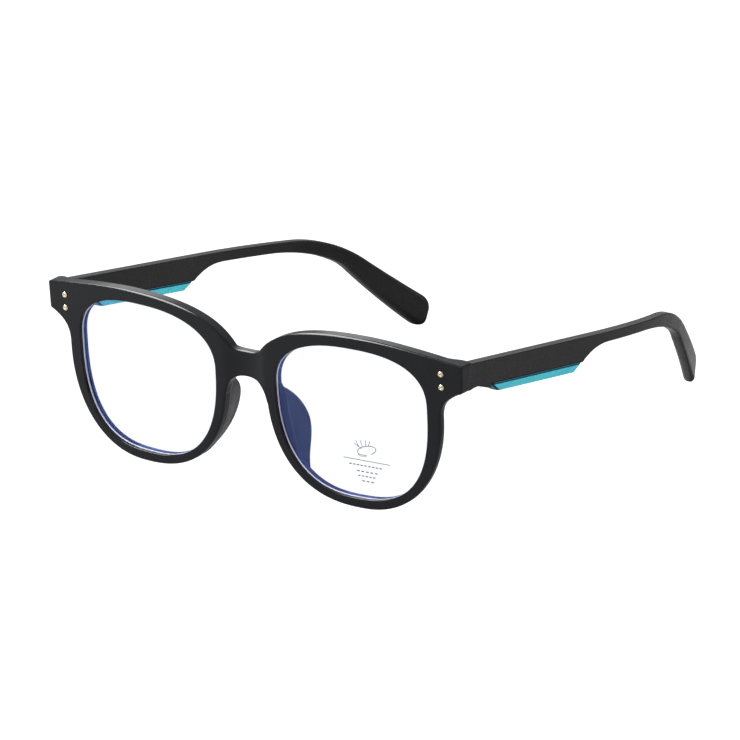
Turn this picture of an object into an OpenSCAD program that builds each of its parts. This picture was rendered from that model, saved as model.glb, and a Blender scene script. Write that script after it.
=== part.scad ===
// Square full-rim blue light glasses, standing open on the rims and on the temple tips.
// +X is the wearer's left, the rims face -Y, the temples run back along +Y, +Z is up.
// The origin is below the middle of the open glasses, on the surface they stand on.

/* [Front] */
// Width over the two end pieces
front_w = 141.6; // [132:0.1:150]
// Radius of the horizontal curve of the front
base_curve_r = 590; // [400:5:900]
// Depth of the rims from front to back
rim_depth = 3.4; // [3:0.1:4.4]
// Forward lean of the front when the glasses stand open
lean = 2.1; // [0:0.1:3]
// Height of the brow line above the bottom of the rims
brow_z = 48.9; // [46:0.1:52]
// Height of the end piece's upper corner
end_top_z = 45.6; // [44:0.1:47]
// Height of the end piece's lower corner
end_bottom_z = 37.7; // [37:0.1:39.5]
// Depth of the end piece from its face to the hinge plane
end_depth = 4.4; // [4:0.1:6]

/* [Openings] */
// Distance between the two lens openings
nose_gap = 20.4; // [18:0.1:22]
// Width of a lens opening
opening_w = 49.2; // [46:0.1:52]
// Height of the opening's lowest point
opening_bottom_z = 2.8; // [2.4:0.1:3.6]
// Height of the opening's highest point
opening_top_z = 45.5; // [44:0.1:46]
// Height at which the opening is widest
opening_mid_z = 31.5; // [24:0.5:34]

/* [Bridge] */
// Height of the bridge's upper edge
bridge_top_z = 38.7; // [37:0.1:41]
// Height of the bridge's underside
bridge_bottom_z = 31.2; // [30:0.1:33]
// How far the bridge is set back from the rims
bridge_recess = 1; // [0:0.1:1.5]

/* [Lenses] */
// Lens thickness
lens_t = 1.8; // [1.4:0.1:2]
// How deep the lens edge sits in the rim's groove
groove_depth = 0.7; // [0.4:0.1:1]

/* [Nose pads] */
// How far the pads reach behind the face of the front
pad_reach = 12.2; // [10:0.1:13]

/* [Temples] */
// Length of the temple along its straight line, from the hinge plane to the tip
temple_len = 138.8; // [130:0.2:145]
// Slope of the temples when the glasses stand open
slope = 7.8; // [7:0.1:10]
// Thickness of the temple
temple_t = 3; // [2.8:0.1:4.2]
// Depth of the front part of the temple
temple_h = 6.8; // [6.4:0.1:7.4]
// Depth of the thin part of the temple
thin_h = 3; // [2.8:0.1:4.2]
// Height of the tip's lowest point below the temple's upper edge
tip_drop = 27.09; // [26:0.01:28]
// Height of the trim strip
strip_h = 2.5; // [2:0.1:3]
// How far the trim strip stands out of the temple's faces
strip_proud = 0.25; // [0.1:0.05:0.5]

/* [Hinges] */
// Outside radius of the hinge barrels
barrel_r = 1.5; // [1.3:0.05:1.6]
// Radius of the hinge screw's shank
screw_r = 0.6; // [0.5:0.05:0.7]
// Radial clearance of the screw in the barrels
running_gap = 0.05; // [0.02:0.01:0.1]
// Distance between the centres of the two rivets
rivet_pitch = 3.75; // [3.4:0.05:4.2]
// Distance of the rivets from the middle of the glasses
rivet_x = 64.4; // [63:0.1:65]
// Diameter of a rivet's domed head
rivet_head_d = 2.1; // [1.8:0.1:2.4]

/* [Hidden] */
$fn = 48;

half_w = front_w / 2;
fit_gap = 0.05;                      // play between pieces that sit in each other
blank = 80;                          // larger than any piece of the front
brow_x = 37.2;                       // where the brow line is highest
rim_side_x = 63.4;                   // widest place of the rim, under the end piece
rim_side_z = 29.8;
nose_x = 6.9;                        // rim's edge beside the nose
nose_z = 32.2;
opening_x = 35.3;                    // the opening's highest and lowest points
opening_in = nose_gap / 2;
opening_out = nose_gap / 2 + opening_w;
groove_front = 1.1;                  // from the face of the front to the groove
groove_w = lens_t + 2 * fit_gap;
face_out = half_w * half_w / (2 * base_curve_r);

hinge_plane_y = face_out + end_depth - end_top_z * tan(lean) + 0.3;
temple_top_z = end_top_z - 0.3;
hinge_x = 65;                        // hinge axis, in the temple's own frame
hinge_v = 2.4;
temple_out_x = half_w - 0.8;         // outer face of the temple at the hinge plane
butt_gap = 0.08;                     // open joint between end piece and temple
leaf_t = 0.8;
leaf_bottom = -7.4;
leaf_top = -1.6;
inner_x = temple_out_x - temple_t - fit_gap;
knuckles = [[-7.2, -5.5], [-5.4, -3.5], [-3.4, -1.8]];
strip_v = [11.2, 53.8];              // trim strip's ends at its upper edge
strip_slant = 3.4;                   // the ends lean inwards by this much
strip_top = -temple_h;
strip_bottom = -temple_h - strip_h;
rib_t = 2.2;                         // rib of the temple inside the strip
rib_bottom = strip_bottom + 0.6;
bend_v = 95.7;                       // where the temple starts to bend down
bend_r = 43;                         // radius of its upper edge in the bend
bend_angle = 32.5;
tip_swell = 0.8;                     // how much thicker the tip is
toe_angle = 1.5;                     // the temple runs inwards from the hinge
rivet_z = 42.75;
tail_y = hinge_plane_y + temple_len * cos(slope) - tip_drop * sin(slope);
depth_shift = -tail_y / 2 + 0.39;     // puts the middle of the open glasses at y = 0

// Points of a quarter of a superellipse, from angle a0 to a1.
function quarter(cx, cz, a, b, n, a0, a1, steps = 14) =
    [for (i = [0 : steps])
        let (t = a0 + (a1 - a0) * i / steps)
        [cx + a * sign(cos(t)) * pow(abs(cos(t)), 2 / n),
         cz + b * sign(sin(t)) * pow(abs(sin(t)), 2 / n)]];

// Points of a cubic curve with two handles.
function curve(p, q, r, s, steps = 12) =
    [for (i = [0 : steps])
        let (t = i / steps, u = 1 - t)
        u * u * u * p + 3 * u * u * t * q + 3 * u * t * t * r + t * t * t * s];

function mirrored(points) = [for (i = [len(points) - 1 : -1 : 0]) [-points[i][0], points[i][1]]];

// Right-hand half of the front's outline, from the top of the bridge round to its underside.
function half_outline() = concat(
    curve([0, bridge_top_z], [2, bridge_top_z], [3, bridge_top_z], [4, bridge_top_z + 0.2], 3),
    curve([4.5, bridge_top_z + 0.35], [8.2, bridge_top_z + 4.9], [15, brow_z], [brow_x, brow_z], 16),
    curve([brow_x + 2, brow_z], [brow_x + 12, brow_z], [half_w - 7, end_top_z + 1.1],
          [half_w - 1, end_top_z + 0.1], 12),
    curve([half_w - 0.5, end_top_z], [half_w, end_top_z - 0.1], [half_w, end_top_z - 0.3],
          [half_w, end_top_z - 0.9], 4),
    curve([half_w - 0.2, end_bottom_z + 1], [half_w - 0.2, end_bottom_z + 0.3],
          [half_w - 0.5, end_bottom_z], [half_w - 1.2, end_bottom_z - 0.2], 4),
    curve([half_w - 1.5, end_bottom_z - 0.3], [65.4, end_bottom_z - 2.1], [63.7, end_bottom_z - 3.8],
          [rim_side_x, rim_side_z + 0.3]),
    quarter(brow_x, rim_side_z, rim_side_x - brow_x, rim_side_z, 2.21, 0, -90, 22),
    quarter(brow_x, nose_z, brow_x - nose_x, nose_z, 2.41, -95, -170.5, 20),
    curve([nose_x + 0.1, nose_z - 6.7], [nose_x - 0.7, nose_z - 3.7], [5.4, bridge_bottom_z],
          [0, bridge_bottom_z], 10));

// Outline of a lens opening, or of a larger one by grow.
function opening_outline(grow = 0) = concat(
    quarter(opening_x, opening_mid_z, opening_out - opening_x + grow,
            opening_top_z - opening_mid_z + grow, 2.58, 0, 90),
    quarter(opening_x, opening_mid_z, opening_x - opening_in + grow,
            opening_top_z - opening_mid_z + grow, 2.32, 96, 180),
    quarter(opening_x, opening_mid_z, opening_x - opening_in + grow,
            opening_mid_z - opening_bottom_z + grow, 2.48, 186, 270),
    quarter(opening_x, opening_mid_z, opening_out - opening_x + grow,
            opening_mid_z - opening_bottom_z + grow, 2.69, 276, 354));

// Everything is drawn with the front's lowest edge at y = 0 and then centred in y.
module stand() {
    translate([0, depth_shift, 0]) children();
}

// The front and what is fixed to it leans forward a little.
module leaned() {
    stand() rotate([lean, 0, 0]) children();
}

// A temple's own frame: y runs along it, z is the hinge axis, z = 0 is its upper edge.
module temple_frame(side) {
    stand() scale_side(side) translate([0, hinge_plane_y, temple_top_z]) rotate([-slope, 0, 0]) children();
}

// side is 1 for the wearer's left and -1 for the wearer's right.
module scale_side(side) {
    if (side > 0) children();
    else mirror([1, 0, 0]) children();
}

// A flat outline in x and z, made into a sheet that follows the base curve.
module curved_sheet(from, to) {
    intersection() {
        translate([0, 40, 0]) rotate([90, 0, 0]) linear_extrude(60) children();
        translate([0, base_curve_r, -10]) difference() {
            cylinder(r = base_curve_r - from, h = blank, $fn = 360);
            translate([0, 0, -1]) cylinder(r = base_curve_r - to, h = blank + 2, $fn = 360);
        }
    }
}

// The rivets stand square to the face of the front.
module at_rivets() {
    lean_in = asin(rivet_x / base_curve_r);
    for (z = [rivet_z, rivet_z - rivet_pitch])
        translate([base_curve_r * sin(lean_in), base_curve_r * (1 - cos(lean_in)), z])
            rotate([0, 0, lean_in]) rotate([-90, 0, 0]) children();
}

module front_frame() color([0.12, 0.12, 0.13]) difference() {
    union() {
        leaned() difference() {
            union() {
                curved_sheet(0, rim_depth) polygon(concat(half_outline(), mirrored(half_outline())));
            }
            for (side = [1, -1]) scale_side(side) {
                curved_sheet(-5, rim_depth + 5) polygon(opening_outline());
                curved_sheet(groove_front, groove_front + groove_w) polygon(opening_outline(groove_depth + fit_gap));
            }
            translate([0, -20 + bridge_recess, 20]) cylinder(r = 20, h = blank, $fn = 180);
        }
        for (side = [1, -1]) end_block(side);
    }
    for (side = [1, -1]) scale_side(side) leaned() at_rivets()
        translate([0, 0, -1]) cylinder(r = 0.8, h = 12);
}

// The end piece is deeper than the rim and is cut square to the temple.
module end_block(side) {
    intersection() {
        scale_side(side) leaned() curved_sheet(rim_depth - 1, 14) polygon([
            [60.2, 37.2], [63, 36.4], [66.5, 36.3], [half_w - 1.3, end_bottom_z - 0.1],
            [half_w - 0.4, end_bottom_z + 0.4], [half_w - 0.1, end_top_z - 0.6],
            [half_w - 0.8, end_top_z - 0.05], [67, end_top_z - 0.7], [60.2, end_top_z - 0.8]]);
        temple_frame(side) translate([50, -20, -20]) cube([40, 20, 40]);
    }
}

module lens(side) color([0.72, 0.80, 0.95, 0.4])
    scale_side(side) leaned()
        curved_sheet(groove_front + fit_gap, groove_front + fit_gap + lens_t)
            polygon(opening_outline(groove_depth));

// A fin that grows out of the back of the rim and curves away from the nose.
module nose_pad(side) color([0.2, 0.2, 0.21])
    scale_side(side) leaned() difference() {
        hull() {
            pad_ball(8.1, rim_depth - 0.2, 28.9, 0.9);
            pad_ball(9.6, pad_reach - 4.0, 26, 1);
            pad_ball(10.9, pad_reach - 1.8, 22.2, 1.1);
            pad_ball(12.2, pad_reach - 1.1, 18.6, 1.1);
            pad_ball(13.0, pad_reach - 1.8, 15.2, 1.1);
            pad_ball(13.9, pad_reach - 3.8, 11.6, 1);
            pad_ball(15.3, pad_reach - 6.3, 8.4, 0.9);
            pad_ball(16.6, rim_depth - 0.2, 6.8, 0.9);
            pad_ball(10.3, rim_depth - 0.2, 18, 0.9);
            pad_ball(12.3, rim_depth - 0.2, 12, 0.9);
        }
        translate([0, base_curve_r, -10])
            difference() {
                cylinder(r = base_curve_r + 20, h = blank, $fn = 360);
                translate([0, 0, -1]) cylinder(r = base_curve_r - rim_depth - 0.02, h = blank + 2, $fn = 360);
            }
    }

module pad_ball(x, y, z, r) {
    translate([x, y, z]) sphere(r = r, $fn = 28);
}

// The rivets end flush with the back of the hinge leaf.
module front_rivets(side) color([0.86, 0.78, 0.60]) difference() {
    scale_side(side) leaned() at_rivets() {
        translate([0, 0, -0.2]) cylinder(r = 0.75, h = 8);
        translate([0, 0, -0.01]) rivet_dome();
    }
    behind_leaf(side);
}

module behind_leaf(side) {
    temple_frame(side) translate([50, leaf_t, -20]) cube([30, 10, 30]);
}

// Low dome that stands on the face, its flat side at z = 0.
module rivet_dome() {
    dome_h = 0.45;
    ball_r = (rivet_head_d * rivet_head_d / 4 + dome_h * dome_h) / (2 * dome_h);
    intersection() {
        translate([0, 0, ball_r - dome_h]) sphere(r = ball_r);
        translate([0, 0, -dome_h]) cylinder(r = rivet_head_d / 2, h = dome_h);
    }
}

// Leaf on the end piece, with the upper and the lower barrel.
module front_hinge_leaf(side) color([0.75, 0.75, 0.77]) difference() {
    temple_frame(side) difference() {
        union() {
            translate([hinge_x - 5, 0, leaf_bottom]) cube([6.6, leaf_t, leaf_top - leaf_bottom]);
            for (k = [0, 2]) {
                barrel(knuckles[k]);
                translate([hinge_x + 0.3, 0.4, knuckles[k][0]])
                    cube([1.2, hinge_v - 0.4, knuckles[k][1] - knuckles[k][0]]);
            }
        }
        screw_bore();
    }
    difference() {
        scale_side(side) leaned() at_rivets() translate([0, 0, 2]) cylinder(r = 0.8, h = 6);
        behind_leaf(side);
    }
}

// Leaf on the inner face of the temple, with the middle barrel.
module temple_hinge_leaf(side) color([0.75, 0.75, 0.77]) temple_frame(side) difference() {
    union() {
        leaf_plate(hinge_v + barrel_r + 0.4, 8.6, [-6.3, -2]);
        leaf_plate(hinge_v - 0.4, 3, knuckles[1]);
        translate([hinge_x, hinge_v - 0.6, knuckles[1][0]])
            cube([inner_x - 0.15 - hinge_x, 1.6, knuckles[1][1] - knuckles[1][0]]);
        barrel(knuckles[1]);
    }
    screw_bore();
    at_leaf_screws() translate([0, 0, -2]) cylinder(r = 0.6, h = 6);
}

// A plate that lies against the inner face of the temple.
module leaf_plate(v, length, span) {
    intersection() {
        translate([0, 0, span[0]]) linear_extrude(span[1] - span[0])
            plan_band(temple_t + fit_gap, temple_t + fit_gap + leaf_t);
        translate([50, v, span[0] - 1]) cube([30, length, span[1] - span[0] + 2]);
    }
}

module barrel(span) {
    translate([hinge_x, hinge_v, span[0]]) cylinder(r = barrel_r, h = span[1] - span[0]);
}

module screw_bore() {
    translate([hinge_x, hinge_v, -9]) cylinder(r = screw_r + running_gap, h = 12);
}

module hinge_screw(side) color([0.6, 0.6, 0.62]) temple_frame(side) translate([hinge_x, hinge_v, 0])
    difference() {
        union() {
            translate([0, 0, -7.5]) cylinder(r = screw_r, h = 5.9);
            translate([0, 0, -1.75]) cylinder(r = 1.15, h = 0.5);
        }
        translate([-2, -0.15, -1.5]) cube([4, 0.3, 1]);
    }

// Two small screws hold the leaf, put in from the inner side of the temple.
module at_leaf_screws() {
    for (v = [6.6, 10.4])
        translate([inner_x - leaf_t - toe_in(v), v, -3.65]) rotate([0, 0, toe_angle]) rotate([0, 90, 0])
            children();
}

module leaf_screws(side) color([0.6, 0.6, 0.62]) temple_frame(side) at_leaf_screws() difference() {
    union() {
        translate([0, 0, -0.2]) cylinder(r = 0.55, h = 2.8);
        translate([0, 0, -0.4]) cylinder(r = 1.1, h = 0.39);
    }
    translate([-2, -0.15, -0.6]) cube([4, 0.3, 0.35]);
}

// How far the outer face has moved inwards at v along the temple: straight, then more and more.
function toe_in(v) = tan(toe_angle) * v + 0.0022 * pow(max(0, v - 60), 2) + 0.0014 * pow(max(0, v - 82), 2);

// How much thicker the temple has become at v.
function swell(v) = tip_swell * min(1, max(0, (v - bend_v) / 20));

// Plan view of the temple between two offsets from its outer face.
module plan_band(from, to) {
    steps = concat([-1, 60], [for (v = [66 : 6 : 84]) v], [for (v = [88 : 4 : 144]) v]);
    polygon(concat([for (v = steps) [temple_out_x - from - toe_in(v), v]],
                   [for (i = [len(steps) - 1 : -1 : 0])
                       [temple_out_x - to - swell(steps[i]) - toe_in(steps[i]), steps[i]]]));
}

// Side view of the temple, from the hinge plane back along the top and forward underneath.
module temple_side() {
    polygon(concat(
        [[butt_gap, -temple_h - 0.7], [butt_gap, -0.3], [butt_gap + 0.4, 0]],
        [for (a = [0 : 2.5 : bend_angle]) [bend_v + bend_r * sin(a), -bend_r * (1 - cos(a))]],
        curve([temple_len - 1.9, -18.3], [temple_len - 0.5, -19.2], [temple_len + 0.2, -21],
              [temple_len, -22.6], 6),
        curve([temple_len - 0.2, -23.6], [temple_len - 0.6, -tip_drop + 0.4],
              [temple_len - 1.4, -tip_drop - 0.1], [temple_len - 3, -tip_drop + 0.1], 6),
        curve([temple_len - 4, -tip_drop + 0.5], [bend_v + 33, -22.2], [bend_v + 24.4, -15.2],
              [bend_v + 18, -9.4], 10),
        curve([bend_v + 16, -8], [bend_v + 9, -4.4], [bend_v + 1, -thin_h - 0.2],
              [bend_v - 8, -thin_h], 8),
        curve([67.5, -thin_h], [61.6, -thin_h - 0.1], [59, -thin_h - 1.4], [55, -temple_h + 0.2], 10),
        [[strip_v[1] + 0.6, -temple_h - 0.2], [strip_v[1] - strip_slant + 0.2, rib_bottom],
         [strip_v[0] + strip_slant - 0.2, rib_bottom], [strip_v[0] - 0.8, -temple_h - 1.4],
         [4.8, -temple_h], [3, -temple_h - 0.25], [1.4, -temple_h - 0.65]]));
}

// Side view of the trim strip, or of the seat it needs.
module strip_side(play = 0) {
    polygon([[strip_v[0] - play, strip_top + play], [strip_v[1] + play, strip_top + play],
             [strip_v[1] + play, strip_top - 0.4],
             [strip_v[1] - strip_slant + play, strip_bottom - play],
             [strip_v[0] + strip_slant - play, strip_bottom - play],
             [strip_v[0] - play, strip_top - 0.4]]);
}

// Turns a side view into a slab across the temple.
module across() {
    rotate([90, 0, 90]) linear_extrude(90) children();
}

module temple(side) color([0.14, 0.14, 0.15]) temple_frame(side) difference() {
    intersection() {
        across() temple_side();
        translate([0, 0, -40]) linear_extrude(50) plan_band(0, temple_t);
    }
    difference() {
        across() strip_side(fit_gap);
        rib();
    }
    at_leaf_screws() translate([0, 0, 0.5]) cylinder(r = 0.6, h = 2.3);
    wire(0.55 + fit_gap);
}

// The rib runs down the middle of the strip's seat.
module rib() {
    mid = temple_out_x - temple_t / 2;
    translate([0, 0, -12]) linear_extrude(20)
        polygon([for (p = [[-1, 0], [-1, 60], [1, 60], [1, 0]]) [mid + p[0] * rib_t / 2 - toe_in(p[1]), p[1]]]);
}

module trim_strip(side) color([0.35, 0.72, 0.78]) temple_frame(side) difference() {
    intersection() {
        across() strip_side();
        translate([0, 0, -14]) linear_extrude(20) plan_band(-strip_proud, temple_t + strip_proud);
    }
    mid = temple_out_x - temple_t / 2;
    translate([0, 0, rib_bottom - fit_gap]) linear_extrude(10)
        polygon([for (p = [[-1, 0], [-1, 60], [1, 60], [1, 0]])
                 [mid + p[0] * (rib_t / 2 + fit_gap) - toe_in(p[1]), p[1]]]);
}

// Stiffening wire in the middle of the temple, drawn as short rods with round joints.
module wire(r) {
    route = [[16, -2.6], [62, -1.6], [90, -1.5], [103, -2.3], [111, -4.5], [118, -8.2], [126, -14]];
    function at(i) = [temple_out_x - temple_t / 2 - toe_in(route[i][0]), route[i][0], route[i][1]];
    for (i = [0 : len(route) - 2]) {
        d = at(i + 1) - at(i);
        translate(at(i)) rotate([0, acos(d[2] / norm(d)), atan2(d[1], d[0])]) cylinder(r = r, h = norm(d));
        translate(at(i + 1)) sphere(r = r * 1.04);
    }
}

module core_wire(side) color([0.7, 0.7, 0.72]) temple_frame(side) wire(0.55);

front_frame();
lens(-1);  // right_lens
lens(1);  // left_lens
nose_pad(-1);  // right_nose_pad
nose_pad(1);  // left_nose_pad
front_rivets(-1);  // right_front_rivets
front_rivets(1);  // left_front_rivets
front_hinge_leaf(-1);  // right_front_hinge_leaf
front_hinge_leaf(1);  // left_front_hinge_leaf
hinge_screw(-1);  // right_hinge_screw
hinge_screw(1);  // left_hinge_screw
temple(-1);  // right_temple
temple(1);  // left_temple
trim_strip(-1);  // right_trim_strip
trim_strip(1);  // left_trim_strip
temple_hinge_leaf(-1);  // right_temple_hinge_leaf
temple_hinge_leaf(1);  // left_temple_hinge_leaf
leaf_screws(-1);  // right_leaf_screws
leaf_screws(1);  // left_leaf_screws
core_wire(-1);  // right_core_wire
core_wire(1);  // left_core_wire
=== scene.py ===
import math

import bmesh
import bpy
import numpy as np
from mathutils import Matrix, Vector
from mathutils.geometry import delaunay_2d_cdt


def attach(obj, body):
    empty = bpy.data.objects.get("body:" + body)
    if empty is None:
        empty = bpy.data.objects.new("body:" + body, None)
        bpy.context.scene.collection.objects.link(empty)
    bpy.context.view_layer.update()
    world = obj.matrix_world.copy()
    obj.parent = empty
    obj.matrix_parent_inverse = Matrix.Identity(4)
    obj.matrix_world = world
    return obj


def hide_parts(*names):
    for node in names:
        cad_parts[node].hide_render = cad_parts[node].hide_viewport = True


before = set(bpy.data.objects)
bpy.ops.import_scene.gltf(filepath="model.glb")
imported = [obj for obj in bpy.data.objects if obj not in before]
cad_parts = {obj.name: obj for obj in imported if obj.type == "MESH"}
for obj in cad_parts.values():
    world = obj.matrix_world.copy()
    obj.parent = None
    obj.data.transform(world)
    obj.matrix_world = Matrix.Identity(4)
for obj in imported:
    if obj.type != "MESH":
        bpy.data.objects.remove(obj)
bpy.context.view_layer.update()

# Sizes in millimetres and angles in radians, as in the CAD, except BEND_ANGLE, in degrees.
# Shapes are drawn in the CAD's own frames, of the front and of a temple, and then placed.
HALF_W, BASE_R, RIM_DEPTH, LEAN = 70.8, 590.0, 3.4, math.radians(2.1)
BROW_Z, END_TOP, END_BOTTOM, END_DEPTH = 48.9, 45.6, 37.7, 4.4
BROW_X, SIDE_X, SIDE_Z, NOSE_X, NOSE_Z = 37.2, 63.4, 29.8, 6.9, 32.2
OPEN_X, OPEN_IN, OPEN_OUT, OPEN_LOW, OPEN_HIGH, OPEN_MID = 35.3, 10.2, 59.4, 2.8, 45.5, 31.5
OPEN_POWERS = (2.58, 2.32, 2.48, 2.69)      # corners: outer top, nose top, nose bottom, outer bottom
BRIDGE_TOP, BRIDGE_LOW, BRIDGE_RECESS = 38.7, 31.2, 1.0
LENS_FRONT, LENS_T, GROOVE = 1.15, 1.8, 0.7
LENS_BACK = LENS_FRONT + LENS_T
GROOVE_FRONT, GROOVE_BACK = 1.1, 3.0        # depths behind the front face
TEMPLE_LEN, SLOPE, TEMPLE_T, TEMPLE_H = 138.8, math.radians(7.8), 3.0, 6.8
THIN_H, TIP_DROP = 3.0, 27.09
BEND_V, BEND_R, BEND_ANGLE, TIP_SWELL, TOE = 95.7, 43.0, 32.5, 0.8, math.radians(1.5)
STRIP_V, STRIP_SLANT, STRIP_LOW, STRIP_PROUD = (11.2, 53.8), 3.4, 9.3, 0.25
RIVET_X, RIVET_Z, RIVET_PITCH, LEAF_T = 64.4, 42.75, 3.75, 0.8
SIDES = (("left", 1), ("right", -1))        # name and sign of X
FRONT_GRID, LENS_GRID, TEMPLE_GRID = 1.0, 2.5, 1.4      # spacing of the points inside a flat face
FACE_OUT = HALF_W ** 2 / (2 * BASE_R)
HINGE_Y = FACE_OUT + END_DEPTH - END_TOP * math.tan(LEAN) + 0.3
TEMPLE_TOP = END_TOP - 0.3
OUT_X = HALF_W - 0.8
TAIL_Y = HINGE_Y + TEMPLE_LEN * math.cos(SLOPE) - TIP_DROP * math.sin(SLOPE)
SHIFT_Y = -TAIL_Y / 2 + 0.39


# ---------------------------------------------------------------- places

def turned_x(p, angle):
    c, s = math.cos(angle), math.sin(angle)
    return np.stack([p[:, 0], p[:, 1] * c - p[:, 2] * s, p[:, 1] * s + p[:, 2] * c], 1)


def from_front(p):
    return turned_x(np.asarray(p, float), LEAN) + [0, SHIFT_Y, 0]


def from_temple(p):
    return turned_x(np.asarray(p, float), -SLOPE) + [0, HINGE_Y + SHIFT_Y, TEMPLE_TOP]


def sheet_y(x, depth):
    """Depth inside the curved front, as a y in the front's own frame."""
    return BASE_R - np.sqrt((BASE_R - depth) ** 2 - np.asarray(x) ** 2)


def hinge_plane_y(z):
    """The y, in the front's own frame, where the front is cut square to the temples."""
    t, c, s = math.tan(SLOPE), math.cos(LEAN), math.sin(LEAN)
    return (HINGE_Y - t * TEMPLE_TOP + z * (s + t * c)) / (c - t * s)


def step(a, b, x):
    """A smooth rise from 0 at a to 1 at b."""
    t = np.clip((np.asarray(x, float) - a) / (b - a), 0, 1)
    return t * t * (3 - 2 * t)


# ---------------------------------------------------------------- outlines

def bezier(p, q, r, s, n=60):
    t = np.linspace(0, 1, n + 1)[:, None]
    u = 1 - t
    p, q, r, s = (np.array(a, float) for a in (p, q, r, s))
    return u ** 3 * p + 3 * u * u * t * q + 3 * u * t * t * r + t ** 3 * s


def quarter(cx, cz, a, b, n, a0, a1):
    """An arc, from angle a0 to a1 in degrees, of a superellipse of power n."""
    t = np.radians(np.linspace(a0, a1, 161))
    c, s = np.cos(t), np.sin(t)
    c[abs(c) < 1e-12] = 0
    s[abs(s) < 1e-12] = 0
    x = cx + a * np.sign(c) * abs(c) ** (2 / n)
    z = cz + b * np.sign(s) * abs(s) ** (2 / n)
    return np.stack([x, z], 1)


def spread(points, pace=0.6, turn=11.0):
    """A closed line, redrawn with points closer together where it turns."""
    keep = np.linalg.norm(points - np.roll(points, 1, 0), axis=1) > 1e-5
    p = points[keep]
    d = np.roll(p, -1, 0) - p
    length = np.linalg.norm(d, axis=1)
    heading = np.arctan2(d[:, 1], d[:, 0])
    change = abs((np.roll(heading, -1) - heading + np.pi) % (2 * np.pi) - np.pi)
    change = (change + np.roll(change, 1)) / 2
    weight = np.concatenate([[0], np.cumsum(length / pace + np.degrees(change) / turn)])
    n = int(math.ceil(weight[-1]))
    at = np.linspace(0, weight[-1], n, endpoint=False)
    q = np.vstack([p, p[:1]])
    return np.stack([np.interp(at, weight, q[:, 0]), np.interp(at, weight, q[:, 1])], 1)


def inward(loop, hole=False):
    """Unit vectors into the material along a closed line."""
    t = np.roll(loop, -1, 0) - np.roll(loop, 1, 0)
    n = np.stack([-t[:, 1], t[:, 0]], 1)
    area = np.sum(loop[:, 0] * np.roll(loop[:, 1], -1) - np.roll(loop[:, 0], -1) * loop[:, 1])
    n *= (1 if area > 0 else -1) * (-1 if hole else 1)
    n /= np.linalg.norm(n, axis=1)[:, None]
    for _ in range(2):
        n = n + 0.5 * (np.roll(n, 1, 0) + np.roll(n, -1, 0))
        n /= np.linalg.norm(n, axis=1)[:, None]
    return n


def moved(loop, normals, d):
    """The line, moved into the material by d, which is one distance or one for each point."""
    return loop + normals * np.reshape(d, (-1, 1))


def front_outline():
    w, low = HALF_W, END_BOTTOM
    half = np.vstack([
        # bridge, rise to the brow, brow and the end piece's top corner
        bezier([0, BRIDGE_TOP], [2, BRIDGE_TOP], [3, BRIDGE_TOP], [4, BRIDGE_TOP + .2]),
        bezier([4.5, BRIDGE_TOP + .35], [8.2, BRIDGE_TOP + 4.9], [15, BROW_Z], [BROW_X, BROW_Z]),
        bezier([BROW_X + 2, BROW_Z], [BROW_X + 12, BROW_Z], [w - 7, END_TOP + 1.1], [w - 1, END_TOP + .1]),
        bezier([w - .5, END_TOP], [w, END_TOP - .1], [w, END_TOP - .3], [w, END_TOP - .9]),
        # the end piece's lower corner and the sweep into the rim
        bezier([w - .2, low + 1], [w - .2, low + .3], [w - .5, low], [w - 1.2, low - .2]),
        bezier([w - 1.5, low - .3], [65.4, low - 2.1], [63.7, low - 3.8], [SIDE_X, SIDE_Z + .3]),
        # the rim's outer lower corner, its nose side, and the underside of the bridge
        quarter(BROW_X, SIDE_Z, SIDE_X - BROW_X, SIDE_Z, 2.21, 0, -90),
        quarter(BROW_X, NOSE_Z, BROW_X - NOSE_X, NOSE_Z, 2.41, -92, -170.5),
        bezier([NOSE_X + .1, NOSE_Z - 6.7], [NOSE_X - .7, NOSE_Z - 3.7], [5.4, BRIDGE_LOW], [0, BRIDGE_LOW])])
    other = half[::-1] * [-1, 1]
    return spread(np.vstack([half, other[1:-1]]))


def opening(grow=0.0, pace=0.6):
    """The edge of the left lens opening, made larger all round by grow."""
    hi, lo = OPEN_HIGH - OPEN_MID + grow, OPEN_MID - OPEN_LOW + grow
    far, near = OPEN_OUT - OPEN_X + grow, OPEN_X - OPEN_IN + grow
    corners = zip((far, near, near, far), (hi, hi, lo, lo), OPEN_POWERS,
                  ((0, 90), (92, 180), (182, 270), (272, 358)))
    return spread(np.vstack([quarter(OPEN_X, OPEN_MID, a, b, n, *arc) for a, b, n, arc in corners]), pace)


def inside(p, loop):
    """Which points are inside a closed line."""
    a, b = loop, np.roll(loop, -1, 0)
    x, y = p[:, :1], p[:, 1:]
    cross = (a[:, 1] > y) != (b[:, 1] > y)
    with np.errstate(divide="ignore", invalid="ignore"):
        at = a[:, 0] + (y - a[:, 1]) * (b[:, 0] - a[:, 0]) / (b[:, 1] - a[:, 1])
    return (np.sum(cross & (x < at), axis=1) % 2) == 1


# ---------------------------------------------------------------- meshes

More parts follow.
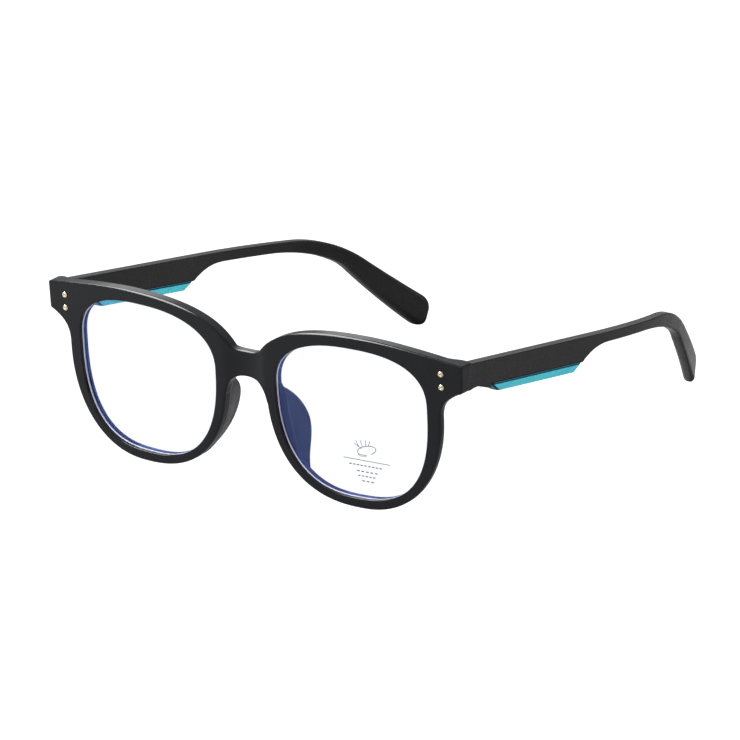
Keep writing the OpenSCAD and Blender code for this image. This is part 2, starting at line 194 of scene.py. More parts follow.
class Mesh:
    """Vertices and faces that are collected before they become one object."""

    def __init__(self):
        self.v, self.f, self.m = [], [], []

    def add(self, points):
        start = len(self.v)
        self.v.extend(map(tuple, points))
        return list(range(start, start + len(points)))

    def face(self, *ids, mat=0):
        self.f.append(ids)
        self.m.append(mat)

    def bands(self, rings, closed=True, mat=0, flip=False):
        for a, b in zip(rings, rings[1:]):
            n = len(a)
            for i in range(n if closed else n - 1):
                j = (i + 1) % n
                ids = (a[i], b[i], b[j], a[j])
                self.face(*(ids[::-1] if flip else ids), mat=mat)

    def patch(self, loops, surface, gap, mat=0, flip=False):
        """Fills between closed lines, each (ids, 2-D points), the first one outside.

        A staggered grid of points goes in between, so that a curved surface keeps its curve.
        """
        outer = loops[0][1]
        lo, hi = outer.min(0), outer.max(0)
        gx, gy = np.meshgrid(np.arange(lo[0], hi[0], gap), np.arange(lo[1], hi[1], gap))
        gx[1::2] += gap / 2
        grid = np.stack([gx.ravel(), gy.ravel()], 1)
        rim = np.vstack([p for _, p in loops])
        near = np.array([np.min(np.sum((rim - g) ** 2, 1)) for g in grid])
        grid = grid[near > (0.55 * gap) ** 2]
        ok = inside(grid, outer)
        for _, p in loops[1:]:
            ok &= ~inside(grid, p)
        grid = grid[ok]
        points = np.vstack([rim, grid])
        edges, start = [], 0
        for _, p in loops:
            n = len(p)
            edges += [(start + i, start + (i + 1) % n) for i in range(n)]
            start += n
        flat = [tuple(map(float, p)) for p in points]
        co, _, tris, origin, _, _ = delaunay_2d_cdt(flat, edges, [], 0, 1e-6)
        ids = [i for g, _ in loops for i in g] + self.add(surface(grid))
        co = np.array([tuple(c) for c in co])
        tris = [t for t in tris if len(t) == 3]
        mid = np.array([co[list(t)].mean(0) for t in tris])
        ok = inside(mid, outer)
        for _, p in loops[1:]:
            ok &= ~inside(mid, p)
        for t, good in zip(tris, ok):
            if good and all(origin[i] for i in t):
                a, b, c = (ids[origin[i][0]] for i in t)
                self.face(*((c, b, a) if flip else (a, b, c)), mat=mat)

    def build(self, name, place, side, materials, body, smooth=32.0):
        """Makes the object, mirrored if side is -1, with edges over smooth degrees kept sharp."""
        v = place(np.array(self.v, float)) * 0.001
        v[:, 0] *= side
        faces = self.f if side > 0 else [f[::-1] for f in self.f]
        me = bpy.data.meshes.new(name)
        me.from_pydata(v.tolist(), [], [list(f) for f in faces])
        for m in materials:
            me.materials.append(m)
        me.polygons.foreach_set("material_index", self.m)
        me.polygons.foreach_set("use_smooth", [True] * len(me.polygons))
        me.validate()
        me.update()
        bm = bmesh.new()
        bm.from_mesh(me)
        bmesh.ops.remove_doubles(bm, verts=bm.verts, dist=1e-7)
        bmesh.ops.recalc_face_normals(bm, faces=bm.faces)
        for e in bm.edges:
            if len(e.link_faces) == 2 and e.calc_face_angle(0) > math.radians(smooth):
                e.smooth = False
        bm.to_mesh(me)
        bm.free()
        ob = bpy.data.objects.new(name, me)
        bpy.context.scene.collection.objects.link(ob)
        w = ob.modifiers.new("even", "WEIGHTED_NORMAL")
        w.keep_sharp = True
        w.weight = 80
        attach(ob, body)
        return ob


# ---------------------------------------------------------------- materials

def material(name, base, rough=0.3, metal=0.0, level=0.5, **sockets):
    m = bpy.data.materials.new(name)
    m.use_nodes = True
    n = m.node_tree.nodes
    b = n["Principled BSDF"]
    b.inputs["Base Color"].default_value = (*base, 1)
    b.inputs["Roughness"].default_value = rough
    b.inputs["Metallic"].default_value = metal
    b.inputs["Specular IOR Level"].default_value = level
    for k, v in sockets.items():
        b.inputs[k.replace("_", " ")].default_value = v
    return m, n, m.node_tree.links, b


def noise(n, links, scale, detail, stretch=(1, 1, 1)):
    c = n.new("ShaderNodeTexCoord")
    mp = n.new("ShaderNodeMapping")
    mp.inputs["Scale"].default_value = stretch
    t = n.new("ShaderNodeTexNoise")
    t.inputs["Scale"].default_value = scale
    t.inputs["Detail"].default_value = detail
    t.inputs["Roughness"].default_value = 0.55
    links.new(c.outputs["Object"], mp.inputs["Vector"])
    links.new(mp.outputs["Vector"], t.inputs["Vector"])
    return t.outputs["Fac"]


def ranged(n, links, fac, lo, hi, out_lo, out_hi):
    r = n.new("ShaderNodeMapRange")
    for k, v in zip(("From Min", "From Max", "To Min", "To Max"), (lo, hi, out_lo, out_hi)):
        r.inputs[k].default_value = v
    links.new(fac, r.inputs["Value"])
    return r.outputs["Result"]


def set_ramp(ramp, low, high):
    """Sets both ends of a colour ramp, each (position, colour)."""
    for end, (position, colour) in zip(ramp.color_ramp.elements, (low, high)):
        end.position, end.color = position, (*colour, 1)


def two_tone(n, links, fac, a, b):
    r = n.new("ShaderNodeValToRGB")
    set_ramp(r, (0.35, a), (0.65, b))
    links.new(fac, r.inputs["Fac"])
    return r.outputs["Color"]


def bump(n, links, shader, height, strength, distance):
    b = n.new("ShaderNodeBump")
    b.inputs["Strength"].default_value = strength
    b.inputs["Distance"].default_value = distance
    links.new(height, b.inputs["Height"])
    links.new(b.outputs["Normal"], shader.inputs["Normal"])


def plastic(name, dark, light, rough, level, grain, strength):
    m, n, links, b = material(name, dark, sum(rough) / 2, 0, level)
    links.new(two_tone(n, links, noise(n, links, 90, 3), dark, light), b.inputs["Base Color"])
    links.new(ranged(n, links, noise(n, links, 420, 5), 0.3, 0.7, *rough), b.inputs["Roughness"])
    bump(n, links, b, noise(n, links, grain, 3), strength, 0.00004)
    return m


# name, dark and light tone, roughness from and to, specular level, grain and its strength
front_plastic = plastic(
    "front_gloss", (.0030, .0034, .0048), (.0050, .0054, .0070), (.12, .20), .34, 700, .04)
temple_plastic = plastic(
    "temple_satin", (.0040, .0040, .0044), (.0068, .0068, .0070), (.24, .34), .34, 700, .05)
pad_plastic = plastic(
    "pad_satin", (.010, .010, .0105), (.015, .015, .0155), (.30, .42), .36, 800, .06)


def metal(name, a, b_, rough, stretch, scale, aniso=0.0, share=1.0):
    m, n, links, b = material(name, a, sum(rough) / 2, share, 0.5, Anisotropic=aniso)
    f = noise(n, links, scale, 5, stretch)
    links.new(two_tone(n, links, f, a, b_), b.inputs["Base Color"])
    links.new(ranged(n, links, f, .3, .7, *rough), b.inputs["Roughness"])
    bump(n, links, b, f, .12, .00003)
    return m


gold = metal("gold_polished", (1.0, .86, .58), (1.0, .94, .74), (.30, .42), (1, 1, 1), 1500)
# The rivets' dark ring and darker dimple are painted shade: the ring for the gap round the head, the dimple
# for the hollow in the dome.
gold_painted_shade = metal("gold_ring_painted_shade", (.030, .020, .008), (.06, .04, .016), (.35, .5), (1, 1, 1), 1500)
gold_dimple_painted_shade = metal("gold_dimple_painted_shade", (.52, .40, .19), (.62, .50, .27), (.3, .45), (1, 1, 1), 1500)
teal = metal("teal_anodised", (.085, .74, .86), (.12, .84, .95), (.22, .34), (1, .04, 1), 2600, .35, .6)
# The strip's dark groove line and dark slanted ends are painted shade, and its pale top bevel is a painted
# highlight, all on one anodised metal.
teal_painted_shade = metal("teal_groove_painted_shade", (.006, .05, .10), (.010, .07, .13), (.22, .34), (1, .04, 1), 2600, .2)
teal_painted_highlight = metal("teal_bevel_painted_highlight", (.16, .52, .62), (.22, .60, .70), (.18, .30), (1, .04, 1), 2600, .2)
steel = metal("hinge_steel", (.48, .48, .50), (.64, .64, .66), (.22, .38), (1, 1, .05), 1800, .4)
screw_steel = metal("screw_steel", (.40, .40, .42), (.62, .62, .64), (.16, .32), (1, 1, 1), 2200)
wire_steel = metal("wire_steel", (.50, .50, .52), (.66, .66, .68), (.25, .4), (1, .05, 1), 2000, .3)


def glass(name, base, rough, rough_ends, alpha):
    m, n, links, b = material(name, base, rough, 1.0, .5)
    links.new(ranged(n, links, noise(n, links, 14, 2), .3, .7, *rough_ends), b.inputs["Roughness"])
    b.inputs["Alpha"].default_value = alpha
    return m


def tinted(name, base, rough, level, scale, detail, dark, light, **sockets):
    m, n, links, b = material(name, base, rough, 0, level, **sockets)
    links.new(two_tone(n, links, noise(n, links, scale, detail), dark, light), b.inputs["Base Color"])
    return m


lens_coat = glass("lens_coated", (.16, .27, .84), .04, (.035, .06), .22)
lens_back = glass("lens_clear", (.5, .55, .8), .03, (.03, .05), .03)
# The bevel ring glows with a faint emission, a painted highlight along the lens edge on top of its own pale
# colour.
lens_edge_painted_glow = tinted("lens_bevel_painted_glow", (.8, .8, .92), .25, .6, 160, 3, (.74, .74, .88), (.86, .86, .95),
                   Emission_Strength=.22, Emission_Color=(.80, .80, .95, 1))
lens_rear = tinted("lens_rear_edge", (.008, .010, .04), .6, .08, 160, 3,
                   (.006, .008, .035), (.012, .015, .055))
ink = tinted("lens_ink", (.03, .03, .03), .6, .3, 2500, 4, (.012, .012, .012), (.07, .07, .07))


# ---------------------------------------------------------------- front

# Edge profiles: (distance in from the outline, depth behind the front face).
OUTER_FRONT_EDGE = ((.50, 0), (.40, .012), (.33, .05), (.10, .30), (.03, .37), (0, .47))
OPENING_FRONT_EDGE = ((.34, 0), (.24, .01), (.10, .07), (.02, .18), (0, .28))
OPENING_WALL = ((0, .7), (0, 1.08), (.05, GROOVE_FRONT), (GROOVE, GROOVE_FRONT),
                (GROOVE, GROOVE_BACK), (.05, GROOVE_BACK), (0, 3.02), (0, 3.12))
# (distance in from the outline, depth in front of the back face)
OPENING_BACK_EDGE = ((.04, .16), (.12, .06), (.24, .01), (.36, 0))
END_ROUND = .3


def crest_x(z):
    """Half the width of the bridge's recess, wider towards the brow."""
    return 6.6 + 1.6 * step(36, 46, z)


def recess(p):
    """How far the bridge is set back from the curved front face."""
    u = 1 - (abs(p[:, 0]) / crest_x(p[:, 1])) ** 2
    return BRIDGE_RECESS * (u + np.sqrt(u * u + 0.012)) / 2 * step(28.5, 31.5, p[:, 1])


def end_share(p):
    """1 where the back is the end piece's, square to the temples, and 0 where it is the rim's."""
    x, z = abs(p[:, 0]), p[:, 1]
    top = step(43.6, 44.9, z) * (1 - step(64.5, 69.6, x))
    return step(60.0, 62.4, x) * step(35.0, 36.9, z) * (1 - top)


def front_y(p, into=0.0):
    return sheet_y(p[:, 0], recess(p) + into)


def back_y(p):
    k = end_share(p)
    return sheet_y(p[:, 0], RIM_DEPTH) * (1 - k) + hinge_plane_y(p[:, 1]) * k


def solid(p, y):
    return np.stack([p[:, 0], np.broadcast_to(y, len(p)), p[:, 1]], 1)


def front_frame():
    m = Mesh()
    faces_f, faces_b = [], []
    loops = [(front_outline(), False)] + [(opening() * [s, 1], True) for s in (1, -1)]
    for loop, hole in loops:
        n = inward(loop, hole)
        at = lambda d: moved(loop, n, d)
        rings = []
        if not hole:
            # the back's rounding is larger on the outer side and below, and small on the nose side
            height = loop[:, 1]
            side = -n[:, 0] * np.sign(loop[:, 0])
            k = end_share(loop + n * .6)
            lateral = step(.15, .8, side) * (1 - step(33, 38, height))
            under = step(.2, .8, n[:, 1]) * (1 - step(5, 12, height))
            inner = step(.2, .8, -side) * (1 - step(28, 31, height))
            foot = np.maximum(under - lateral, 0)
            a = .35 + 1.15 * lateral + .5 * lateral * (1 - step(8, 26, height)) + .6 * foot + .5 * inner
            b = .4 + 1.9 * lateral + .8 * foot + .6 * inner
            a = a * (1 - k) + END_ROUND * k
            b = b * (1 - k) + END_ROUND * k
            for d, into in OUTER_FRONT_EDGE:
                p = at(d)
                rings.append((p, front_y(p, into)))
            top = front_y(loop, OUTER_FRONT_EDGE[-1][1])
            bottom = back_y(at(a)) - b
            for t in (.12, .5, .88):
                rings.append((loop, top + (bottom - top) * t))
            for q in np.radians(np.linspace(0, 90, 8)):
                p = at(a * (1 - math.cos(q)))
                rings.append((p, back_y(p) - b * (1 - math.sin(q))))
            p = at(a + .15)
            rings.append((p, back_y(p)))
        else:
            for d, into in OPENING_FRONT_EDGE:
                p = at(d)
                rings.append((p, front_y(p, into)))
            for d, into in OPENING_WALL:
                p = at(d)
                rings.append((p, sheet_y(p[:, 0], into)))
            for d, back in OPENING_BACK_EDGE:
                p = at(d)
                rings.append((p, back_y(p) - back))
        ids = [m.add(solid(p, y)) for p, y in rings]
        m.bands(ids)
        faces_f.append((ids[0], rings[0][0]))
        faces_b.append((ids[-1], rings[-1][0]))
    m.patch(faces_f, lambda p: solid(p, front_y(p)), FRONT_GRID)
    m.patch(faces_b, lambda p: solid(p, back_y(p)), FRONT_GRID, flip=True)
    return m


front = front_frame().build("front_frame_shell", from_front, 1, [front_plastic], "front", 40)
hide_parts("front_frame")


# ---------------------------------------------------------------- lenses

LENS_EDGE = ((.12, 0), (.03, .03), (0, .12))        # (distance in, depth from the lens's face)
LENS_CLEARANCE = .04
RING_DEPTH = .55                                    # how far a ring goes into the rim's groove
BEVEL, REAR_BEVEL = (1.14, 1.72), (1.74, 2.96)      # depths behind the front face


def lens_disc():
    m = Mesh()
    loop = opening(-LENS_CLEARANCE, 1.0)
    n = inward(loop)
    rings = []
    for d, into in ([(d, LENS_FRONT + e) for d, e in LENS_EDGE]
                    + [(d, LENS_BACK - e) for d, e in LENS_EDGE[::-1]]):
        p = moved(loop, n, d)
        rings.append((p, sheet_y(p[:, 0], into)))
    ids = [m.add(solid(p, y)) for p, y in rings]
    m.bands(ids)
    for k, into, mat in ((0, LENS_FRONT, 0), (-1, LENS_BACK, 1)):
        m.patch([(ids[k], rings[k][0])], lambda p: solid(p, sheet_y(p[:, 0], into)), LENS_GRID,
                mat=mat, flip=bool(mat))
    return m


def lens_ring(into_a, into_b):
    """The lens's own bevelled edge, which fills the groove of the rim."""
    m = Mesh()
    loop = opening(0, .8)
    n = inward(loop, True)
    mid = (into_a + into_b) / 2
    ids = []
    for d, into in ((.0, into_a + .05), (-.02, mid), (.0, into_b - .05), (.04, into_b), (RING_DEPTH, into_b),
                    (RING_DEPTH, into_a), (.04, into_a), (.0, into_a + .05)):
        p = moved(loop, n, d)
        ids.append(m.add(solid(p, sheet_y(p[:, 0], into))))
    m.bands(ids)
    return m


for name, side in SIDES:
    lens = lens_disc().build(name + "_lens_clear", from_front, side, [lens_coat, lens_back], "front")
    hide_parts(name + "_lens")
    edge = lens_ring(*BEVEL).build(name + "_lens_bevel_painted_glow", from_front, side, [lens_edge_painted_glow], "front", 60)
    rear = lens_ring(*REAR_BEVEL).build(name + "_lens_rear_bevel", from_front, side, [lens_rear], "front", 60)


# ---------------------------------------------------------------- marks on the left lens

MARK_OVAL, MARK_SHADE = (38.9, 16.6), (38.9, 16.15)     # centres
MARK_TICKS = (((36.4, 17.4), (35.5, 19.1)), ((37.6, 17.6), (36.9, 19.4)), ((38.6, 17.9), (38.6, 19.6)),
              ((39.4, 17.8), (40.1, 19.5)), ((34.9, 18.2), (37.3, 16.9)))
MARK_LINE = (31.2, 46.2, 13.6)                          # from x, to x, height
# height, from x, to x, dash, gap
MARK_DASHES = ((12.1, 33.0, 44.4, .8, .42), (10.4, 35.4, 42.6, .9, .55), (9.1, 35.8, 42.4, .7, .5),
               (7.7, 37.0, 41.8, .85, .6))


def marks():
    """An oval, ticks, a line and rows of dashes, with no letters."""
    m = Mesh()

    def stroke(points, width):
        p = np.array(points, float)
        t = np.gradient(p, axis=0)
        t /= np.linalg.norm(t, axis=1)[:, None]
        side = np.stack([-t[:, 1], t[:, 0]], 1) * width / 2
        rows = []
        for q, into in ((p + side, .015), (p + side, .04), (p - side, .04), (p - side, .015),
                        (p + side, .015)):
            rows.append(m.add(solid(q, sheet_y(q[:, 0], LENS_FRONT - into + .01))))
        m.bands(rows, closed=False)
        for k in (0, -1):
            m.face(rows[0][k], rows[1][k], rows[2][k], rows[3][k])

    t = np.radians(np.linspace(-70, 262, 40))
    tilt = math.radians(16)
    ring = np.stack([3.1 * np.cos(t), 1.25 * np.sin(t)], 1)
    ring = ring @ np.array([[math.cos(tilt), math.sin(tilt)], [-math.sin(tilt), math.cos(tilt)]])
    stroke(ring + MARK_OVAL, .18)
    stroke((ring * .96 + MARK_SHADE)[30:], .12)
    for a, b in MARK_TICKS:
        stroke(np.linspace(a, b, 5), .15)
    x0, x1, z = MARK_LINE
    stroke(np.stack([np.linspace(x0, x1, 30), np.full(30, z)], 1), .17)
    for z, x0, x1, dash, gap in MARK_DASHES:
        x = x0
        while x + dash < x1:
            stroke(np.linspace((x, z), (x + dash, z), 4), .28)
            x += dash + gap
    return m


mark = marks().build("left_lens_marks", from_front, 1, [ink], "front")


# ---------------------------------------------------------------- nose pads

# (height, root on the nose side, root on the lens side, rear edge's x, rear edge's depth)
PAD = np.array([[31.0, 7.3, 9.6, 7.9, 2.6], [30.2, 7.2, 10.2, 8.1, 3.8], [29.0, 7.2, 10.6, 8.5, 5.5],
                [27.8, 7.3, 10.9, 8.9, 7.0], [26.2, 7.4, 11.2, 9.35, 8.9], [24.4, 7.6, 11.4, 9.95, 10.4],
                [22.2, 7.9, 11.7, 10.8, 11.6], [19.8, 8.3, 12.1, 11.7, 12.2], [17.6, 8.9, 12.6, 12.4, 12.2],
                [15.4, 9.6, 13.2, 13.0, 11.6], [13.2, 10.5, 13.9, 13.6, 10.5], [11.2, 11.4, 14.7, 14.3, 9.0],
                [9.4, 12.5, 15.7, 15.1, 7.5], [7.8, 13.8, 16.9, 16.1, 6.2], [6.4, 15.2, 18.2, 17.2, 5.0],
                [5.4, 16.6, 19.2, 18.2, 3.9], [4.8, 17.8, 19.8, 18.9, 2.6]])


PAD_SECTIONS, PAD_SMOOTHING = 61, 6


def nose_pad():
    """A fin behind the rim: one closed section for each height, smoothed along the pad."""
    m = Mesh()
    fine = np.linspace(0, 1, PAD_SECTIONS)
    key = np.linspace(0, 1, len(PAD))
    rows = np.stack([np.interp(fine, key, PAD[:, c]) for c in range(5)], 1)
    for _ in range(PAD_SMOOTHING):
        rows[1:-1] = rows[1:-1] * .5 + (rows[:-2] + rows[2:]) * .25
    rings = []
    for z, xn, xl, xe, ye in rows:
        ye = ye - .3
        h = max(ye - 2.2, .01)      # the fin's height behind the rim
        r = min(.62, .28 + h * .06)
        nose = bezier([xn + .85, 1.4], [xn + .55, 1.4 + h * .35 + .5],
                      [xe - r - .35, ye - h * .42], [xe - r, ye - r], 9)
        cap = [[xe - r * math.cos(q), ye - r + r * math.sin(q)]
               for q in np.radians((22, 45, 68, 90, 112, 135, 158))]
        lens = bezier([xe + r, ye - r], [xe + r + .1, ye - h * .5],
                      [xl - .6, 3.0 + h * .12], [xl + .6, 3.05], 9)
        root = [[xl + .4, 2.0], [xn + 1.2, 1.2]]
        sec = np.vstack([nose, cap, lens, root])
        depth = sec[:, 1] + sheet_y(sec[:, 0], 0)
        rings.append(m.add(np.stack([sec[:, 0], depth, np.full(len(sec), z)], 1)))
    m.bands(rings)
    m.face(*rings[0])
    m.face(*rings[-1][::-1])
    return m


for name, side in SIDES:
    pad = nose_pad().build(name + "_nose_pad_fin", from_front, side, [pad_plastic], "front", 70)
    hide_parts(name + "_nose_pad")


# ---------------------------------------------------------------- rivets

RIVET_SIDES, RIVET_SHANK = 40, .75
DIMPLE_DEPTH = .22
# (radius, depth behind the front face, material: 0 gold, 1 dark ring painted as the shade in the gap round
# the head, 2 dimple painted darker as its shade)
RIVET_PROFILE = [(.12, -.24, 2), (.24, -.27, 2), (.30, -.36, 0), (.42, -.42, 0), (.55, -.42, 0),
                 (.68, -.34, 0), (.78, -.22, 0), (.83, -.10, 0), (.86, -.02, 1), (.95, -.035, 1),
                 (1.05, -.02, 1), (1.05, .10, 1), (RIVET_SHANK, .12, 1)]


def rivets():
    """Two domed heads with their shanks, which end on the hinge leaf behind the end piece."""
    m = Mesh()
    lean_in = math.asin(RIVET_X / BASE_R)
    cx, cy = BASE_R * math.sin(lean_in), BASE_R * (1 - math.cos(lean_in))
    ax = np.array([-math.sin(lean_in), math.cos(lean_in), 0])
    ux = np.array([math.cos(lean_in), math.sin(lean_in), 0])
    uz = np.array([0, 0, 1.0])
    q = np.linspace(0, 2 * np.pi, RIVET_SIDES, endpoint=False)
    turn = np.outer(np.cos(q), ux) + np.outer(np.sin(q), uz)

    def along(p):
        """How far a point is along the temples, from the front's own frame."""
        p = turned_x(p[None], LEAN)[0]
        return p[1] * math.cos(SLOPE) - p[2] * math.sin(SLOPE)

    leaf_back = HINGE_Y * math.cos(SLOPE) - TEMPLE_TOP * math.sin(SLOPE) + LEAF_T
    for z in (RIVET_Z, RIVET_Z - RIVET_PITCH):
        c = np.array([cx, cy, z])
        hub = m.add([c + ax * -DIMPLE_DEPTH])
        rings = [m.add(c + turn * r + ax * d) for r, d, _ in RIVET_PROFILE]
        for i in range(RIVET_SIDES):
            m.face(hub[0], rings[0][i], rings[0][(i + 1) % RIVET_SIDES], mat=2)
        for (a, b), (_, _, k) in zip(zip(rings, rings[1:]), RIVET_PROFILE[1:]):
            m.bands([a, b], mat=k)
        end = m.add([w + ax * (leaf_back - along(w)) / along(ax) for w in c + turn * RIVET_SHANK])
        m.bands([rings[-1], end])
        m.face(*end)
    return m


for name, side in SIDES:
    rivet = rivets().build(name + "_front_rivet_heads", from_front, side,
                           [gold, gold_painted_shade, gold_dimple_painted_shade], "front", 45)
    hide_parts(name + "_front_rivets")


# ---------------------------------------------------------------- temples

def toe_in(v):
    """How far the temple has turned in at a distance v along it."""
    v = np.asarray(v, float)
    return math.tan(TOE) * v + .0022 * np.maximum(0, v - 60) ** 2 + .0014 * np.maximum(0, v - 82) ** 2


def thick(v):
    """The temple's thickness, which swells over 20 mm behind the bend."""
    return TEMPLE_T + TIP_SWELL * np.clip((np.asarray(v, float) - BEND_V) / 20, 0, 1)


def temple_outline():
    """The temple from the side, as (distance along it, height below its top edge)."""
    a = np.radians(np.arange(0, BEND_ANGLE + .1, .5))
    n, d = TEMPLE_LEN, TIP_DROP
    top = np.stack([BEND_V + BEND_R * np.sin(a), -BEND_R * (1 - np.cos(a))], 1)
    p = np.vstack([
        # the butt, the straight top edge and the bend
        [[.09, -TEMPLE_H - .7], [.09, -.25], [.25, -.05], [.5, 0]],
        np.stack([np.linspace(2, BEND_V - 1, 60), np.zeros(60)], 1), top,
        # the tip
        bezier([n - 1.9, -18.3], [n - .5, -19.2], [n + .2, -21], [n, -22.6], 20),
        bezier([n - .2, -23.6], [n - .6, -d + .4], [n - 1.4, -d - .1], [n - 3, -d + .1], 20),
        # the lower edge, forward to the step and up the step
        bezier([n - 4, -d + .5], [BEND_V + 33, -22.2], [BEND_V + 24.4, -15.2], [BEND_V + 18, -9.4], 40),
        bezier([BEND_V + 16, -8], [BEND_V + 9, -4.4], [BEND_V + 1, -THIN_H - .2], [BEND_V - 8, -THIN_H], 30),
        bezier([67.5, -THIN_H], [61.6, -THIN_H - .1], [59, -THIN_H - 1.4], [55.2, -TEMPLE_H + .1], 30),
        # the rebate for the trim strip and the hinge end's lower edge
        [[54.5, -7.02], [53.9, -7.05], [53.88, -6.76], [11.12, -6.76], [11.1, -7.9], [10.4, -8.0],
         [4.8, -TEMPLE_H], [3, -TEMPLE_H - .25], [1.4, -TEMPLE_H - .65]]])
    return spread(p, .7, 14)


def temple():
    m = Mesh()
    loop = temple_outline()[::-1]
    n = inward(loop)
    at = lambda d: moved(loop, n, d)
    v, w = loop.T
    r = .34 + .30 * step(62, 100, v) + .90 * step(100, 128, v)
    r = np.where((v < 56) & (w < -6.5), .08, r)     # nearly sharp along the trim strip
    outer = lambda p: OUT_X - toe_in(p[:, 0])
    inner = lambda p: OUT_X - toe_in(p[:, 0]) - thick(p[:, 0])
    rings = []
    p = at(r + .1)
    rings.append((p, outer(p)))
    for q in np.radians((90, 72, 54, 36, 18, 0)):
        p = at(r * (1 - math.cos(q)))
        rings.append((p, outer(p) - r * (1 - math.sin(q))))
    mid = (outer(loop) + inner(loop)) / 2
    rings.append((loop, mid))
    for q in np.radians((0, 18, 36, 54, 72, 90)):
        p = at(r * (1 - math.cos(q)))
        rings.append((p, inner(p) + r * (1 - math.sin(q))))
    p = at(r + .1)
    rings.append((p, inner(p)))
    pack = lambda p, x: np.stack([np.broadcast_to(x, len(p)), p[:, 0], p[:, 1]], 1)
    ids = [m.add(pack(p, x)) for p, x in rings]
    m.bands(ids)
    m.patch([(ids[0], rings[0][0])], lambda p: pack(p, outer(p)), TEMPLE_GRID)
    m.patch([(ids[-1], rings[-1][0])], lambda p: pack(p, inner(p)), TEMPLE_GRID, flip=True)
    return m


STRIP_HALF = TEMPLE_T / 2 + STRIP_PROUD
SLANT_FROM = 7.2                        # where its slanted ends start below the temple's top edge
# (across from the temple's middle, below its top edge, material: 0 teal, 1 dark groove in painted shade, 2
# bevel in painted highlight)
STRIP_SIDE = [(STRIP_HALF - .22, 6.79, 2), (STRIP_HALF - .02, 6.86, 2), (STRIP_HALF, 6.93, 2),
              (STRIP_HALF, 7.12, 1), (STRIP_HALF - .12, 7.16, 1), (STRIP_HALF - .12, 7.34, 1),
              (STRIP_HALF - .01, 7.40, 0), (STRIP_HALF, 7.46, 0), (STRIP_HALF, 8.2, 0),
              (STRIP_HALF, 8.98, 0), (STRIP_HALF - .05, 9.14, 0), (STRIP_HALF - .16, 9.25, 0),
              (STRIP_HALF - .32, 9.3, 0)]
# (share of the length, how much narrower than the section)
STRIP_STATIONS = ([(0, .40), (.010, .22), (.020, .02)] + [(t, 0) for t in np.linspace(.03, .97, 36)]
                  + [(.984, .02), (.992, .22), (1, .40)])


def trim_strip():
    """A channel bar along the temple's lower edge, with a bevelled ledge, a fine groove and slanted ends."""
    m = Mesh()
    other = STRIP_SIDE[::-1]
    sec = STRIP_SIDE + [(-x, w, k) for x, w, k in other]
    kinds = [k for _, _, k in STRIP_SIDE[1:]] + [0] + [k for _, _, k in other[:-1]] + [2]
    width = STRIP_V[1] - STRIP_V[0]
    rings = []
    for t, cut in STRIP_STATIONS:
        pts = []
        for x, w, _ in sec:
            lean = STRIP_SLANT * max(0, (w - SLANT_FROM) / (STRIP_LOW - SLANT_FROM))
            v = STRIP_V[0] + lean + (width - 2 * lean) * t
            middle = OUT_X - TEMPLE_T / 2 - float(toe_in(v))
            pts.append([middle + x - math.copysign(min(cut, abs(x)), x), v, -w])
        rings.append(m.add(pts))
    n = len(sec)
    for j, (a, b) in enumerate(zip(rings, rings[1:])):
        # The slanted ends take the painted shade material.
        ends = j < 2 or j > len(rings) - 4
        for i in range(n):
            k = (i + 1) % n
            m.face(a[i], b[i], b[k], a[k], mat=1 if ends else kinds[i])
    # The end faces are in painted shade too.
    m.face(*rings[0][::-1], mat=1)
    m.face(*rings[-1], mat=1)
    return m


for name, side in SIDES:
    body = name + "_arm"
    arm = temple().build(name + "_temple_arm", from_temple, side, [temple_plastic], body, 40)
    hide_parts(name + "_temple")
    strip = trim_strip().build(name + "_trim_bar", from_temple, side, [teal, teal_painted_shade, teal_painted_highlight], body, 24)
    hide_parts(name + "_trim_strip")
    for node, mat in (("front_hinge_leaf", steel), ("temple_hinge_leaf", steel), ("hinge_screw", screw_steel),
                      ("leaf_screws", screw_steel), ("core_wire", wire_steel)):
        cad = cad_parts[name + "_" + node]
        for s in cad.material_slots:
            s.material = mat
        if not cad.material_slots:
            cad.data.materials.append(mat)


# ---------------------------------------------------------------- stage

BACKDROP = 1.3              # brightness that only the camera sees, as plain white
FLOOR_HALF, FLOOR_DROP = 6.0, 0.00005       # metres
SKY_LOW, SKY_HIGH, SKY_STRENGTH = (.34, .34, .35), (.9, .9, .9), .8


def stage_plane():
    me = bpy.data.meshes.new("floor")
    s = FLOOR_HALF
    me.from_pydata([(-s, -s, 0), (s, -s, 0), (s, s, 0), (-s, s, 0)], [], [(0, 1, 2, 3)])
    ob = bpy.data.objects.new("floor", me)
    ob.location.z = -FLOOR_DROP
    bpy.context.scene.collection.objects.link(ob)
    m, n, links, b = material("floor_white", (.36, .36, .37), .9, 0, .1)
    glow, pick, ray = n.new("ShaderNodeEmission"), n.new("ShaderNodeMixShader"), n.new("ShaderNodeLightPath")
    glow.inputs["Strength"].default_value = BACKDROP
    links.new(ray.outputs["Is Camera Ray"], pick.inputs["Fac"])
    links.new(b.outputs["BSDF"], pick.inputs[1])
    links.new(glow.outputs["Emission"], pick.inputs[2])
    links.new(pick.outputs["Shader"], n["Material Output"].inputs["Surface"])
    me.materials.append(m)


stage_plane()

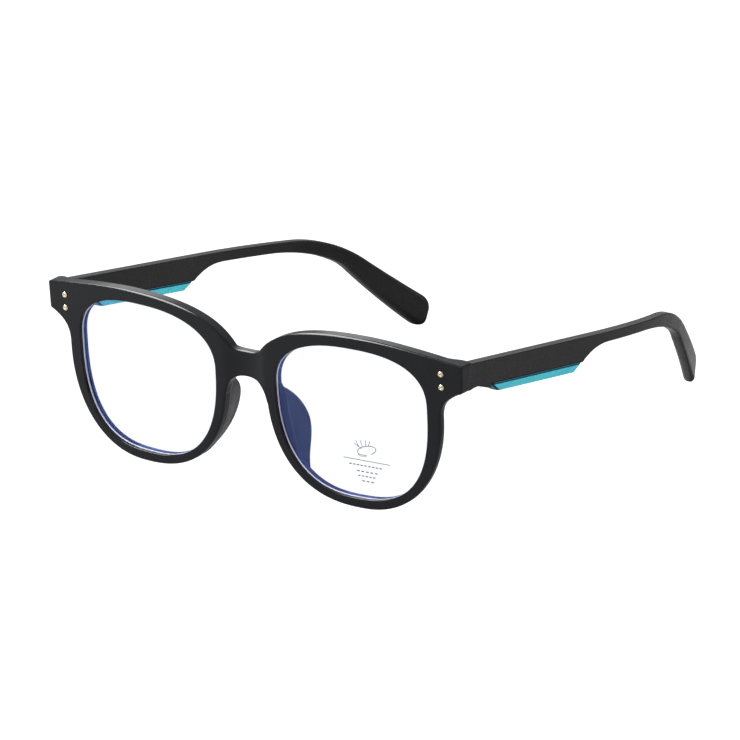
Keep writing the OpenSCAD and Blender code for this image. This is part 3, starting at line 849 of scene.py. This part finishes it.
world = bpy.data.worlds.new("studio")
bpy.context.scene.world = world
world.use_nodes = True
wn, wl = world.node_tree.nodes, world.node_tree.links
sky = wn["Background"]
coord, split = wn.new("ShaderNodeTexCoord"), wn.new("ShaderNodeSeparateXYZ")
ramp = wn.new("ShaderNodeValToRGB")
wl.new(coord.outputs["Generated"], split.inputs["Vector"])
wl.new(split.outputs["Z"], ramp.inputs["Fac"])
set_ramp(ramp, (.0, SKY_LOW), (.9, SKY_HIGH))
wl.new(ramp.outputs["Color"], sky.inputs["Color"])
sky.inputs["Strength"].default_value = SKY_STRENGTH
white = wn.new("ShaderNodeBackground")
white.inputs["Color"].default_value = (1, 1, 1, 1)
white.inputs["Strength"].default_value = BACKDROP
pick, ray = wn.new("ShaderNodeMixShader"), wn.new("ShaderNodeLightPath")
wl.new(ray.outputs["Is Camera Ray"], pick.inputs["Fac"])
wl.new(sky.outputs["Background"], pick.inputs[1])
wl.new(white.outputs["Background"], pick.inputs[2])
wl.new(pick.outputs["Shader"], wn["World Output"].inputs["Surface"])


AIM = (0, 0, .03)


def area(name, place, size, power):
    d = bpy.data.lights.new(name, "AREA")
    d.shape = "RECTANGLE"
    d.size, d.size_y, d.energy = *size, power
    o = bpy.data.objects.new(name, d)
    bpy.context.scene.collection.objects.link(o)
    o.location = place
    o.rotation_euler = (Vector(AIM) - Vector(place)).to_track_quat("-Z", "Y").to_euler()


area("key_soft", (-.75, -.40, .95), (.9, .5), 24)
area("back_soft", (-.45, 1.1, .55), (1.3, .35), 1.6)
area("side_soft", (1.2, .35, .6), (.5, .5), 3)

CAM_RIGHT = (0.796571, 0.604048, -0.024488)
CAM_UP = (-0.169613, 0.262184, 0.949995)
CAM_BACK = (0.580264, -0.752586, 0.311302)
CAM_PLACE = (1.60083, -2.091744, 0.876865)
CAM_LENS, CAM_SENSOR = 487.25, 36           # millimetres
cam_data = bpy.data.cameras.new("camera")
cam_data.lens, cam_data.sensor_width = CAM_LENS, CAM_SENSOR
cam_data.clip_start, cam_data.clip_end = .1, 50
cam = bpy.data.objects.new("camera", cam_data)
bpy.context.scene.collection.objects.link(cam)
cam.matrix_world = Matrix((CAM_RIGHT + (0,), CAM_UP + (0,), CAM_BACK + (0,), CAM_PLACE + (1,))).transposed()
bpy.context.scene.camera = cam
bpy.context.scene.view_settings.view_transform = "Standard"

bpy.context.view_layer.update()
